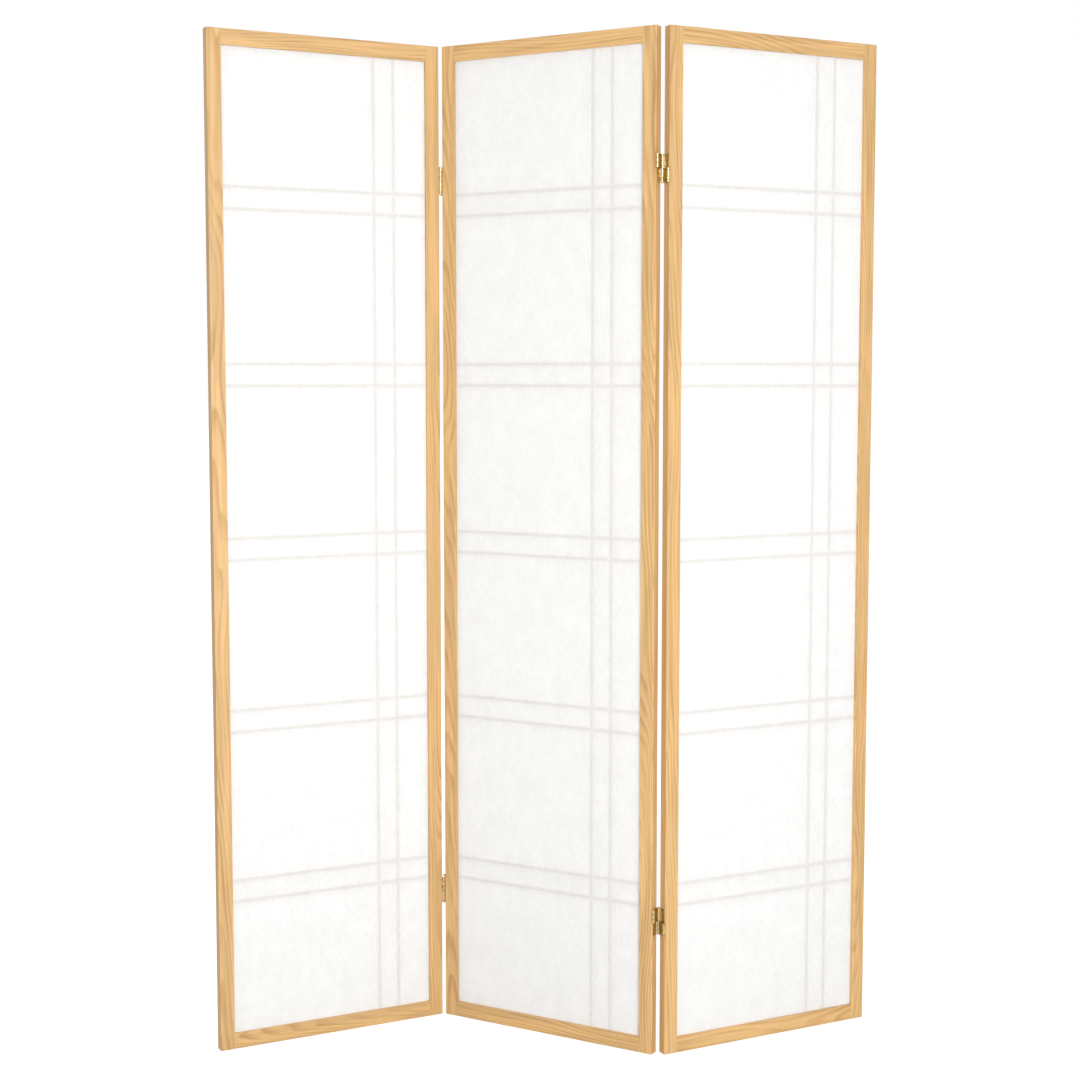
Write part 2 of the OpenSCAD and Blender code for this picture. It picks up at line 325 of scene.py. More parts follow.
def flat_faces(piece):
    """Keeps wide faces flat beside narrow rounds, with normals weighed by the area of the faces."""
    weigh = piece.modifiers.new("flat_faces", "WEIGHTED_NORMAL")
    weigh.keep_sharp = True


def mark_board(mesh, way, angle, draw):
    """Stores where each vertex lay in its log, for the grain: a, and then b and c from the log's heart,
    each with a slow lean along the length. The heart lay near the board's middle in b, and to one side
    of its face in c, so that the rings close in long arches. The draw sets how far off, and the lean."""
    spots = np.empty(3 * len(mesh.vertices), np.float32)
    mesh.vertices.foreach_get("co", spots)
    board = way.into(turned(spots.reshape(-1, 3).astype(float), -angle))
    side = draw.choice([-1.0, 1.0], 2)
    heart = np.array([draw.uniform(*HEART_ACROSS), side[0] * draw.uniform(*HEART_AWAY)])
    lean = np.array([draw.uniform(*LEAN_ACROSS), side[1] * draw.uniform(*LEAN_AWAY)])
    board[:, 1:] += heart + lean * board[:, :1]
    board[:, 0] += draw.uniform(0, LOG_LENGTH)
    store = mesh.attributes.new("board", "FLOAT_VECTOR", "POINT")
    store.data.foreach_set("vector", board.astype(np.float32).ravel())


def make_member(panel, name, parts, slot, material, draw):
    """One wooden piece of a panel from its (way, grid) parts, which share their way's directions."""
    angle = HEADING[panel]
    node = f"{panel}_panel_{name}"
    mesh = surface_mesh(f"{node}_wood", [turned(way.out(grid.reshape(-1, 3)), angle).reshape(grid.shape)
                                         for way, grid in parts])
    mark_board(mesh, parts[0][0], angle, draw)
    piece = finish_piece(mesh, f"{node}_wood", f"{panel}_panel", slot, [node], material)
    flat_faces(piece)
    return piece


def stile_way(name, box):
    """a runs up a stile, b from its free edge towards the paper and c towards the lattice side."""
    low, high = box
    if name == "left_stile":
        return Way(low, (0, 0, 1), (1, 0, 0), (0, 1, 0))
    return Way((high[0], low[1], low[2]), (0, 0, 1), (-1, 0, 0), (0, 1, 0))


def rail_way(name, box):
    """a runs along a rail, b from its free edge towards the paper and c towards the lattice side."""
    low, high = box
    if name == "bottom_rail":
        return Way(low, (1, 0, 0), (0, 0, 1), (0, 1, 0))
    return Way((low[0], low[1], high[2]), (1, 0, 0), (0, 0, -1), (0, 1, 0))


def tenon_box(panel, name, box):
    """A rail's box with the (v, z) section of its tenons, which is that of its end faces."""
    spots = turned(corners_of(f"{panel}_panel_{name}"), -HEADING[panel])
    end = spots[spots[:, 0] < box[0][0] + MERGE]
    low, high = end.min(0), end.max(0)
    return np.array([[box[0][0], low[1], low[2]], [box[1][0], high[1], high[2]]])


def lapped_bar(box, crossing, kind, rounds):
    """A bar's (way, grid), with half of its depth cut away where each crossing bar passes."""
    low, high = box
    if kind == "cross":
        way = Way(low, (1, 0, 0), (0, 1, 0), (0, 0, 1))
    else:
        way = Way((low[0], high[1], low[2]), (0, 0, 1), (0, -1, 0), (1, 0, 0))
    size = way.box(box)[1]
    cuts = []
    for other in crossing:
        start, end = way.box(other)
        cuts.append(((start[0] - BAR_FIT, -BEYOND), (end[0] + BAR_FIT, size[2] + BEYOND), size[1] / 2))
    return way, member_grid(*size, rounds, cuts)


# ---- paper ----

def sheet_grid(low, high):
    """A flat sheet as a tube of four points carried up: the corners of its thin section, at even
    heights."""
    heights = np.linspace(low[2], high[2], SHEET_LINES)
    ring = np.array([[low[0], low[1]], [high[0], low[1]], [high[0], high[1]], [low[0], high[1]]])
    grid = np.empty((len(heights), 4, 3))
    grid[..., :2] = ring
    grid[..., 2] = heights[:, None]
    return grid


# ---- hinges ----

def eased_copy(node, slot, settings, *materials):
    """A copy of a CAD node with its doubled vertices merged and its flat faces made whole. The rims of
    its knuckles are rounded, and then its other sharp edges are eased. The three materials are for flat
    faces, for knuckles and eased edges, and for the rims, a painted shade in the grooves between
    knuckles."""
    source = frame["nodes"][node]
    mesh = source.data.copy()
    mesh.materials.clear()
    work = bmesh.new()
    work.from_mesh(mesh)
    bmesh.ops.remove_doubles(work, verts=work.verts, dist=MERGE)
    bmesh.ops.dissolve_limit(work, angle_limit=FLAT_ANGLE, verts=work.verts, edges=work.edges)
    work.to_mesh(mesh)
    work.free()
    for layer in list(mesh.uv_layers):
        mesh.uv_layers.remove(layer)
    mesh.shade_smooth()
    mesh.set_sharp_from_angle(angle=SHARP_ANGLE)
    mark_knuckles(mesh)
    piece = finish_piece(mesh, f"{node}_metal", source["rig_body"], slot, [node], *materials)
    rims = piece.modifiers.new("knuckle_rims", "BEVEL")
    rims.limit_method = "WEIGHT"
    edges = piece.modifiers.new("eased_edges", "BEVEL")
    edges.limit_method = "ANGLE"
    edges.angle_limit = SHARP_ANGLE
    # the rims take the third material, the painted shade in the grooves between knuckles
    bevels = ((rims, settings.rim, RIM_STEPS, 2), (edges, settings.edge, EDGE_STEPS, 1))
    for bevel, width, segments, index in bevels:
        bevel.width = width
        bevel.segments = segments
        bevel.material = index
        bevel.loop_slide = False
    flat_faces(piece)
    return piece


def mark_knuckles(mesh):
    """Gives a knuckle's barrel the second material, and its rims the bevel's whole weight. Their
    vertices lie a knuckle's radius from one pin's axis, and both ends of a rim's edge lie level."""
    spots = np.empty(3 * len(mesh.vertices), np.float32)
    mesh.vertices.foreach_get("co", spots)
    spots = spots.reshape(-1, 3).astype(float)
    axes = np.array([joint["pos_m"][:2] for joint in frame["joints"]])
    reach = np.linalg.norm(spots[:, None, :2] - axes, axis=-1)
    round_one = np.abs(reach - KNUCKLE_RADIUS) < RIM_SLACK

    ends = np.empty(2 * len(mesh.edges), np.int32)
    mesh.edges.foreach_get("vertices", ends)
    start, end = ends.reshape(-1, 2).T
    sharp = np.zeros(len(mesh.edges), bool)
    mesh.attributes["sharp_edge"].data.foreach_get("value", sharp)
    level = np.abs(spots[start, 2] - spots[end, 2]) < MERGE
    rim = sharp & level & (round_one[start] & round_one[end]).any(1)
    store = mesh.attributes.new("bevel_weight_edge", "FLOAT", "EDGE")
    store.data.foreach_set("value", rim.astype(np.float32))

    corners = np.empty(len(mesh.loops), np.int32)
    mesh.loops.foreach_get("vertex_index", corners)
    starts = np.empty(len(mesh.polygons), np.int32)
    mesh.polygons.foreach_get("loop_start", starts)
    barrel = np.logical_and.reduceat(round_one[corners], starts, axis=0).any(1)
    mesh.polygons.foreach_set("material_index", barrel.astype(np.int32))


# ---- shader nodes ----

class Nodes:
    """Adds nodes to one tree and joins them."""

    def __init__(self, tree):
        self.tree = tree
        tree.nodes.clear()

    def put(self, socket, value):
        """Links a socket, or sets it to a plain value."""
        if isinstance(value, bpy.types.NodeSocket):
            self.tree.links.new(value, socket)
        else:
            socket.default_value = value

    def fill(self, node, inputs):
        """Puts values into a node's inputs, which are named or numbered in a dict."""
        for key, value in inputs.items():
            self.put(node.inputs[key], value)

    def add(self, kind, inputs=None, **settings):
        """A node with its settings and its inputs. A group's sockets are there once it has its tree."""
        node = self.tree.nodes.new(kind)
        for key, value in settings.items():
            setattr(node, key, value)
        self.fill(node, inputs or {})
        return node

    def math(self, operation, *terms):
        """The result of a Math node."""
        return self.add("ShaderNodeMath", dict(enumerate(terms)), operation=operation).outputs[0]

    def vector(self, operation, *terms):
        """The result of a Vector Math node."""
        return self.add("ShaderNodeVectorMath", dict(enumerate(terms)), operation=operation).outputs[0]

    def smooth(self, value, start, end, low=0.0, high=1.0):
        """low before start and high after end, with a smooth step between."""
        node = self.add("ShaderNodeMapRange", interpolation_type="SMOOTHSTEP")
        for socket, term in zip(node.inputs, (value, start, end, low, high)):
            self.put(socket, term)
        return node.outputs[0]

    def noise(self, vector, scale, detail=2.0, roughness=0.5, distortion=0.0):
        """A noise texture's value."""
        node = self.add("ShaderNodeTexNoise", {"Vector": vector, "Scale": scale, "Detail": detail,
                                               "Roughness": roughness, "Distortion": distortion})
        return node.outputs["Fac"]

    def stretch(self, vector, x=1, y=1, z=1):
        """The vector with each of its parts scaled."""
        return self.add("ShaderNodeMapping", {"Vector": vector, "Scale": (x, y, z)}).outputs[0]

    def mix(self, share, first, second, blend="MIX"):
        """A colour mixed from two."""
        node = self.add("ShaderNodeMix", data_type="RGBA", blend_type=blend)
        self.fill(node, {"Factor": share, 6: first, 7: second})
        return node.outputs[2]

    def stored(self, name):
        """A vector that is stored on the mesh."""
        return self.add("ShaderNodeAttribute", attribute_name=name).outputs["Vector"]

    def bump(self, height, strength, distance):
        """A normal tilted by a height."""
        return self.add("ShaderNodeBump", {"Height": height, "Strength": strength,
                                           "Distance": distance}).outputs[0]


def new_group(name, inputs, outputs):
    """An empty node group, with its nodes, its given sockets and its output node. An input with no
    value is a vector, and every output is a number."""
    group = bpy.data.node_groups.new(name, "ShaderNodeTree")
    for socket, value in inputs.items():
        kind = "NodeSocketVector" if value is None else "NodeSocketFloat"
        made = group.interface.new_socket(socket, in_out="INPUT", socket_type=kind)
        if value is not None:
            made.default_value = value
    for socket in outputs:
        group.interface.new_socket(socket, in_out="OUTPUT", socket_type="NodeSocketFloat")
    nodes = Nodes(group)
    return group, nodes, nodes.add("NodeGroupInput").outputs, nodes.add("NodeGroupOutput")


def shared_group(name, make):
    """The node group of that name, made if there is none yet."""
    return bpy.data.node_groups.get(name) or make()


def new_material(name):
    """A material with an empty tree, and its nodes."""
    material = bpy.data.materials.new(name)
    material.use_nodes = True
    return material, Nodes(material.node_tree)


def close_material(nodes, shader):
    """Joins the shader to the material's output."""
    nodes.add("ShaderNodeOutputMaterial", {"Surface": shader.outputs[0]})


def grain_group():
    """Sawn wood: year rings round the log's heart, which sways and wanders along the length, slow light
    and dark bands, and fine fibres. Rings runs from 0 in early wood to 1 in late wood: it rises over
    most of a ring and falls sharply at its end. Bands, Fibres and Height are around 0.5."""
    group, nodes, given, result = new_group(
        "sawn_grain", {"Board": None, "Ring Width": 0.006, "Wander": 8.5},
        ("Rings", "Bands", "Fibres", "Height"))
    board = given["Board"]
    sway = nodes.add("ShaderNodeTexNoise", {
        "Vector": nodes.stretch(board, SWAY_RATE, 0, 0), "Scale": 1.0, "Detail": 1.0}).outputs["Color"]
    sway = nodes.vector("MULTIPLY", nodes.vector("SUBTRACT", sway, (0.5, 0.5, 0.5)),
                        (0, SWAY_SIZE, SWAY_SIZE))
    wave = nodes.add("ShaderNodeTexWave", {
        "Vector": nodes.stretch(nodes.vector("ADD", board, sway), x=0.075),
        "Scale": nodes.math("DIVIDE", WAVE_PERIOD, given["Ring Width"]), "Distortion": given["Wander"],
        "Detail": 1.5, "Detail Scale": 0.5, "Detail Roughness": 0.4},
        wave_type="RINGS", rings_direction="X", wave_profile="SAW").outputs["Fac"]
    rise = nodes.smooth(wave, 0.3, RING_PEAK)
    fall = nodes.smooth(wave, RING_PEAK, 1.0, low=1.0, high=0.0)
    patchy = nodes.smooth(nodes.noise(nodes.stretch(board, x=0.1), scale=60.0, detail=1.0),
                          0.35, 0.65, low=0.35, high=1.0)
    rings = nodes.math("MULTIPLY", nodes.math("MULTIPLY", rise, fall), patchy)
    bands = nodes.noise(nodes.stretch(board, x=0.035), scale=75.0, roughness=0.45, distortion=0.6)
    fine = nodes.noise(nodes.stretch(board, x=0.012), scale=1400.0, detail=3.0, roughness=0.6)
    coarse = nodes.noise(nodes.stretch(board, x=0.03), scale=260.0)
    fibres = nodes.math("MULTIPLY_ADD", fine, 0.5, nodes.math("MULTIPLY", coarse, 0.5))
    height = nodes.math("MULTIPLY_ADD", fibres, 0.7, nodes.math("MULTIPLY", rings, 0.3))
    nodes.fill(result, {"Rings": rings, "Bands": bands, "Fibres": fibres, "Height": height})
    return group


def bars_behind_group():
    """Where bars are glued behind the paper, the mask of the painted shade over them: 1 on a bar's
    middle, falling smoothly to 0 past its edge.
    Sheet is (u, v, z) in the panel. A coordinate folded about the middle of a pair gives the distance
    from the nearer bar as the difference from half the pair's gap."""
    uprights = upright_boxes("middle")
    crosses = list(cross_bar_boxes("middle").values())
    pairs = [(lower[0][2] + upper[1][2]) / 2 for lower, upper in crosses]
    lower, upper = crosses[0]
    half_gap = (upper[0][2] - lower[0][2]) / 2
    half_bar = (lower[1][2] - lower[0][2]) / 2
    upright_half_gap = (uprights[1][0][0] - uprights[0][0][0]) / 2
    upright_middle = (uprights[0][0][0] + uprights[1][1][0]) / 2 - place("middle", "paper")[0][0]
    step = pairs[1] - pairs[0]
    group, nodes, given, result = new_group("bars_behind", {"Sheet": None}, ("Shade",))
    parts = nodes.add("ShaderNodeSeparateXYZ", {0: given["Sheet"]}).outputs

    def band(distance, half_gap):
        """The painted shade of a pair of bars, from the distance to the pair's middle."""
        off = nodes.math("ABSOLUTE", nodes.math("SUBTRACT", distance, half_gap))
        return nodes.smooth(off, half_bar * BAR_CORE, half_bar * BAR_BLUR, low=1.0, high=0.0)

    from_pair = nodes.math("SUBTRACT", parts["Z"], pairs[0] - step)
    across = band(nodes.math("PINGPONG", from_pair, step / 2), half_gap)
    from_uprights = nodes.math("ABSOLUTE", nodes.math("SUBTRACT", parts["X"], upright_middle))
    upright = band(from_uprights, upright_half_gap)
    low_end = nodes.math("GREATER_THAN", parts["Z"], pairs[0] - step / 2)
    high_end = nodes.math("LESS_THAN", parts["Z"], pairs[-1] + step / 2)
    across = nodes.math("MULTIPLY", across, nodes.math("MULTIPLY", low_end, high_end))
    nodes.fill(result, {"Shade": nodes.math("MAXIMUM", across, upright)})
    return group


def washi_group():
    """Handmade paper: a cloudy pulp drawn out up and down, and long thin fibres, which lie where a
    wandering noise passes through its middle value."""
    group, nodes, given, result = new_group("washi", {"Sheet": None}, ("Pulp", "Strands", "Height"))
    sheet = given["Sheet"]
    flecks = nodes.noise(nodes.stretch(sheet, z=0.3), scale=260.0, detail=3.0, roughness=0.6)
    clouds = nodes.noise(nodes.stretch(sheet, z=0.5), scale=38.0)
    pulp = nodes.math("MULTIPLY_ADD", flecks, 0.65, nodes.math("MULTIPLY", clouds, 0.35))
    wandering = nodes.noise(nodes.stretch(sheet, z=0.35), scale=70.0, detail=1.0, roughness=0.4,
                            distortion=1.6)
    off_middle = nodes.math("ABSOLUTE", nodes.math("SUBTRACT", wandering, 0.5))
    strands = nodes.smooth(off_middle, 0.0, STRAND_WIDTH, low=1.0, high=0.0)
    here = nodes.smooth(nodes.noise(sheet, scale=22.0, detail=1.0), 0.5, 0.62)
    strands = nodes.math("MULTIPLY", strands, here)
    height = nodes.math("MULTIPLY_ADD", strands, 0.5, pulp)
    nodes.fill(result, {"Pulp": pulp, "Strands": strands, "Height": height})
    return group


def tarnish_group():
    """Old metal: cloudy tarnish in patches, with fine scratches up and down."""
    group, nodes, given, result = new_group("tarnish", {"Place": None},
                                            ("Patches", "Scratches", "Height"))
    spot = given["Place"]
    clouds = nodes.noise(spot, scale=170.0, detail=4.0, roughness=0.62, distortion=0.4)
    patches = nodes.smooth(clouds, 0.36, 0.66)
    scratches = nodes.noise(nodes.stretch(spot, z=0.08), scale=2600.0, roughness=0.6)
    height = nodes.math("MULTIPLY_ADD", patches, 0.4, scratches)
    nodes.fill(result, {"Patches": patches, "Scratches": scratches, "Height": height})
    return group


# ---- materials ----

def colour(values):
    """A colour setting as a socket's value."""
    return (*values, 1.0)


def spruce(name, early, late, ring_width, settings):
    """Lacquered spruce: early and late wood along the rings, tinted by the bands and the fibres, under a
    thin satin coat."""
    material, nodes = new_material(name)
    grain = nodes.add("ShaderNodeGroup", {"Board": nodes.stored("board"), "Ring Width": ring_width},
                      node_tree=shared_group("sawn_grain", grain_group)).outputs
    ringed = nodes.mix(grain["Rings"], colour(early), colour(late))
    tint = nodes.math("MULTIPLY", nodes.smooth(grain["Fibres"], 0.35, 0.65, low=0.94, high=1.05),
                      nodes.smooth(grain["Bands"], 0.35, 0.65, low=0.88, high=1.04))
    grey = nodes.add("ShaderNodeCombineColor", {0: tint, 1: tint, 2: tint}).outputs[0]
    shader = nodes.add("ShaderNodeBsdfPrincipled", {
        "Base Color": nodes.mix(1.0, ringed, grey, "MULTIPLY"),
        "Roughness": nodes.smooth(grain["Fibres"], 0.3, 0.7, low=settings.roughness + 0.06,
                                  high=settings.roughness - 0.04),
        "Coat Weight": 0.12, "Coat Roughness": 0.3,
        "Normal": nodes.bump(grain["Height"], 0.25, FIBRE_RELIEF)})
    close_material(nodes, shader)
    return material


def shoji_paper(settings):
    """White shoji paper, which lets some light through, with a painted shade over the bars glued behind
    it and its own fibres.
    """
    material, nodes = new_material("shoji_paper")
    sheet = nodes.stored("sheet")
    washi = nodes.add("ShaderNodeGroup", {"Sheet": sheet}, node_tree=washi_group()).outputs
    behind = nodes.add("ShaderNodeGroup", {"Sheet": sheet}, node_tree=bars_behind_group()).outputs
    pulp = nodes.mix(nodes.smooth(washi["Pulp"], 0.38, 0.62), colour(settings.thick_colour),
                     colour(settings.thin_colour))
    stranded = nodes.mix(nodes.math("MULTIPLY", washi["Strands"], settings.strands), pulp,
                         colour(settings.strand_colour))
    # painted shade: the paper's colour is darkened over the bars behind it, where they block the light
    # that comes through
    with_painted_shade = nodes.mix(nodes.math("MULTIPLY", behind["Shade"], settings.painted_bar_shade), stranded,
                       colour(settings.painted_shade_colour))
    face = nodes.add("ShaderNodeBsdfPrincipled", {
        "Base Color": with_painted_shade, "Roughness": 0.85, "Specular IOR Level": 0.2,
        "Normal": nodes.bump(washi["Height"], 0.2, PULP_RELIEF)})
    through = nodes.add("ShaderNodeBsdfTranslucent", {"Color": with_painted_shade})
    shader = nodes.add("ShaderNodeMixShader", {
        0: settings.see_through, 1: face.outputs[0], 2: through.outputs[0]})
    close_material(nodes, shader)
    return material


def brass(name, bright, dull, roughness):
    """Brass with tarnish in patches. Bright metal is smoother than dull."""
    material, nodes = new_material(name)
    spot = nodes.add("ShaderNodeTexCoord").outputs["Object"]
    age = nodes.add("ShaderNodeGroup", {"Place": spot},
                    node_tree=shared_group("tarnish", tarnish_group)).outputs
    scratched = nodes.math("MULTIPLY_ADD", age["Scratches"], 0.12, roughness)
    shader = nodes.add("ShaderNodeBsdfPrincipled", {
        "Base Color": nodes.mix(age["Patches"], colour(bright), colour(dull)),
        "Metallic": 1.0,
        "Roughness": nodes.math("MULTIPLY_ADD", age["Patches"], 0.16, scratched),
        "Normal": nodes.bump(age["Height"], 0.15, TARNISH_RELIEF)})
    close_material(nodes, shader)
    return material


# ---- stage ----

def make_floor():
    """A wide white disc under the screen: rings of points at a few radii, joined to its middle."""
    radii = np.array(FLOOR_RADII)
    angle = np.linspace(0, math.tau, FLOOR_CORNERS, endpoint=False)
    rim = radii[:, None, None] * np.stack([np.cos(angle), np.sin(angle)], -1)
    flat = np.concatenate([rim, np.zeros((*rim.shape[:2], 1))], -1)
    index = np.arange(flat.shape[0] * flat.shape[1]).reshape(flat.shape[:2])
    beside = np.roll(index, -1, 1)
    quads = np.stack([index[:-1], index[1:], beside[1:], beside[:-1]], -1).reshape(-1, 4)
    mesh = bpy.data.meshes.new("studio_floor")
    mesh.from_pydata(flat.reshape(-1, 3).tolist(), [], quads.tolist() + [index[0].tolist()])
    floor = bpy.data.objects.new("studio_floor", mesh)
    bpy.context.scene.collection.objects.link(floor)
    material, nodes = new_material("studio_white")
    seen = nodes.add("ShaderNodeLightPath").outputs["Is Camera Ray"]
    shader = nodes.add("ShaderNodeBsdfPrincipled", {
        "Base Color": FLOOR_WHITE, "Roughness": 0.9, "Specular IOR Level": 0.0,
        "Emission Color": WHITE, "Emission Strength": nodes.math("MULTIPLY", seen, FLOOR_GLOW)})
    close_material(nodes, shader)
    mesh.materials.append(material)


def make_sky(scene, strength):
    """An even white sky, seen by the camera as pure white."""
    world = bpy.data.worlds.new("studio_sky")
    world.use_nodes = True
    nodes = Nodes(world.node_tree)
    light = nodes.add("ShaderNodeBackground", {"Color": WHITE, "Strength": strength})
    seen = nodes.add("ShaderNodeBackground", {"Color": WHITE, "Strength": 1.0})
    path = nodes.add("ShaderNodeLightPath")
    both = nodes.add("ShaderNodeMixShader", {
        0: path.outputs["Is Camera Ray"], 1: light.outputs[0], 2: seen.outputs[0]})
    nodes.add("ShaderNodeOutputWorld", {"Surface": both.outputs[0]})
    scene.world = world


def make_soft_light(scene, name, power, bearing, rise, distance):
    """A large round soft light aimed at the middle of the screen. Its bearing is from straight in front
    towards the right, and its rise is above the level, both in degrees."""
    light = bpy.data.lights.new(name, "AREA")
    light.shape = "DISK"
    light.size = LIGHT_SIZE
    light.energy = power
    lamp = bpy.data.objects.new(name, light)
    bearing, rise = math.radians(bearing), math.radians(rise)
    level = math.cos(rise)
    way = np.array([math.sin(bearing) * level, -math.cos(bearing) * level, math.sin(rise)])
    middle = np.mean([np.array(corner) for corner in cad_box], 0)
    lamp.location = tuple(middle + distance * way)
    lamp.rotation_euler = (math.pi / 2 - rise, 0, bearing)
    scene.collection.objects.link(lamp)


def make_camera(scene, settings):
    """The camera at standing height, a little left of straight ahead and a little down."""
    camera = bpy.data.objects.new("camera", bpy.data.cameras.new("camera"))
    camera.data.sensor_width = SENSOR_WIDTH
    camera.data.lens = settings.lens
    camera.location = settings.camera_place
    camera.rotation_euler = (math.pi / 2 - settings.camera_tilt, 0, settings.camera_pan)
    scene.collection.objects.link(camera)
    scene.camera = camera


# ---- settings ----

class ShojiWood(bpy.types.PropertyGroup):
    """Sizes and colours of the wooden members."""

    edge_round: FloatProperty(name="Edge Round", description="Radius of the frame's outer edges",
                              default=0.0014, unit="LENGTH")
    inner_round: FloatProperty(name="Inner Round", description="Radius of the edges beside the paper",
                               default=0.0003, unit="LENGTH")
    bar_round: FloatProperty(name="Bar Round", description="Radius of a bar's edges",
                             default=0.0004, unit="LENGTH")
    ring_width: FloatProperty(name="Ring Width", description="Width of a year ring in the frame",
                              default=0.0038, unit="LENGTH")
    bar_ring_width: FloatProperty(name="Bar Ring Width", description="Width of a year ring in the bars",
                                  default=0.0035, unit="LENGTH")
    early: FloatVectorProperty(name="Early Wood", description="Colour of early wood in the frame",
                               default=(0.684, 0.427, 0.18), subtype="COLOR")
    late: FloatVectorProperty(name="Late Wood", description="Colour of late wood in the frame",
                              default=(0.525, 0.293, 0.104), subtype="COLOR")
    bar_early: FloatVectorProperty(name="Bar Early Wood", description="Colour of early wood in the bars",
                                   default=(0.66, 0.42, 0.18), subtype="COLOR")
    bar_late: FloatVectorProperty(name="Bar Late Wood", description="Colour of late wood in the bars",
                                  default=(0.53, 0.31, 0.12), subtype="COLOR")
    roughness: FloatProperty(name="Roughness", description="Roughness of the lacquered wood",
                             default=0.42, min=0, max=1)
    seed: IntProperty(name="Log", description="Which log the boards are sawn from", default=7)


class ShojiPaper(bpy.types.PropertyGroup):
    """Colours of the paper."""

    thick_colour: FloatVectorProperty(name="Thick Pulp", description="Colour where the pulp is thick",
                                      default=(0.93, 0.93, 0.925), subtype="COLOR")
    thin_colour: FloatVectorProperty(name="Thin Pulp", description="Colour where the pulp is thin",
                                     default=(0.885, 0.885, 0.88), subtype="COLOR")
    strand_colour: FloatVectorProperty(name="Strands", description="Colour of the long fibres",
                                       default=(0.80, 0.80, 0.79), subtype="COLOR")
    strands: FloatProperty(name="Strand Strength", description="How plainly the long fibres show",
                           default=0.5, min=0, max=1)
    # The bar shade is painted shade: the colour and strength of the darkening painted on the paper over
    # the bars behind it.
    painted_shade_colour: FloatVectorProperty(name="Bar Shade", description="Colour of the paper over a bar",
                                      default=(0.66, 0.65, 0.63), subtype="COLOR")
    painted_bar_shade: FloatProperty(name="Bar Shade Strength", description="How plainly the bars show through",
                             default=0.07, min=0, max=1)
    see_through: FloatProperty(name="Light Through", description="Share of the light that goes through",
                               default=0.3, min=0, max=1)


class ShojiBrass(bpy.types.PropertyGroup):
    """Sizes and colours of the hinges."""

    edge: FloatProperty(name="Edge", description="Width of the rubbed edges of leaves and links",
                        default=0.00022, unit="LENGTH")
    rim: FloatProperty(name="Rim", description="Width of the rounding at a knuckle's ends",
                       default=0.0008, unit="LENGTH")
    bright: FloatVectorProperty(name="Bright", description="Colour of rubbed brass",
                                default=(0.87, 0.69, 0.35), subtype="COLOR")
    aged: FloatVectorProperty(name="Aged", description="Colour of aged brass",
                              default=(0.68, 0.51, 0.225), subtype="COLOR")
    dull: FloatVectorProperty(name="Dull", description="Colour of tarnished brass",
                              default=(0.38, 0.265, 0.10), subtype="COLOR")
    # painted shade: a near-black colour on the knuckles' rims, which darkens the grooves between
    # knuckles
    groove_shade_colour: FloatVectorProperty(name="Painted Groove Shade", description="Colour of the grime in the knuckles' grooves",
                               default=(0.12, 0.075, 0.028), subtype="COLOR")
    roughness: FloatProperty(name="Roughness", description="Roughness of bright brass",
                             default=0.2, min=0, max=1)


class ShojiStage(bpy.types.PropertyGroup):
    """The camera and the studio."""

    camera_place: FloatVectorProperty(name="Camera", description="Where the camera stands",
                                      default=(0.062, -3.3542, 1.1943), subtype="TRANSLATION",
                                      unit="LENGTH")
    camera_tilt: FloatProperty(name="Tilt", description="How far the camera looks down",
                               default=math.radians(4.972), unit="ROTATION")
    camera_pan: FloatProperty(name="Pan", description="How far the camera looks left of straight ahead",
                              default=math.radians(1.303), unit="ROTATION")
    lens: FloatProperty(name="Lens", description="Focal length on a 36 mm sensor",
                        default=62.87, unit="CAMERA")
    sky: FloatProperty(name="Sky", description="Light from all round", default=0.79, min=0)
    key: FloatProperty(name="Key Light", description="Power of the soft light at the camera's right",
                       default=75.0, min=0, unit="POWER")
    back: FloatProperty(name="Back Light", description="Power of the soft light behind the screen",
                        default=30.0, min=0, unit="POWER")


# ---- operators ----

class SHOJI_OT_frames(bpy.types.Operator):
    """Build the stiles and rails of the three panels"""

    bl_idname = "shoji.frames"
    bl_label = "Panel Frames"

    def execute(self, context):
        settings = context.scene.shoji_wood
        material = spruce("frame_spruce", settings.early, settings.late, settings.ring_width, settings)
        rounds = (settings.edge_round, settings.inner_round)
        draw = np.random.default_rng(settings.seed)
        for panel in PANELS:
            housed = [bar for pair in cross_bar_boxes(panel).values() for bar in pair]
            paper = place(panel, "paper")
            left, right = place(panel, "left_stile"), place(panel, "right_stile")
            rails = {name: place(panel, name) for name in ("bottom_rail", "top_rail")}
            for name, box in (("left_stile", left), ("right_stile", right)):
                way = stile_way(name, box)
                size = way.box(box)[1]
                cuts = [cut_for(way, paper, PAPER_FIT, LET_IN_GAP)]
                cuts += [cut_for(way, bar, BAR_FIT, LET_IN_GAP) for bar in housed]
                cuts += [cut_for(way, tenon_box(panel, rail, rails[rail]), GLUE_GAP, TENON_END_GAP)
                         for rail in rails]
                grid = member_grid(*size, rounds, cuts, end_round=settings.edge_round)
                make_member(panel, name, [(way, grid)], "frame_spruce", material, draw)
            for name, box in rails.items():
                way = rail_way(name, box)
                size = way.box(box)[1]
                cuts = [cut_for(way, paper, PAPER_FIT, LET_IN_GAP)]
                cuts += [cut_for(way, bar, BAR_FIT, LET_IN_GAP) for bar in upright_boxes(panel)]
                low, high = way.box(tenon_box(panel, name, box))
                shoulders = [way.into((edge, 0, 0))[0] for edge in (left[1][0], right[0][0])]
                tenon = {"shoulders": shoulders, "low": low[1:], "high": high[1:]}
                grid = member_grid(*size, rounds, cuts, tenon)
                make_member(panel, name, [(way, grid)], "frame_spruce", material, draw)
        return {"FINISHED"}


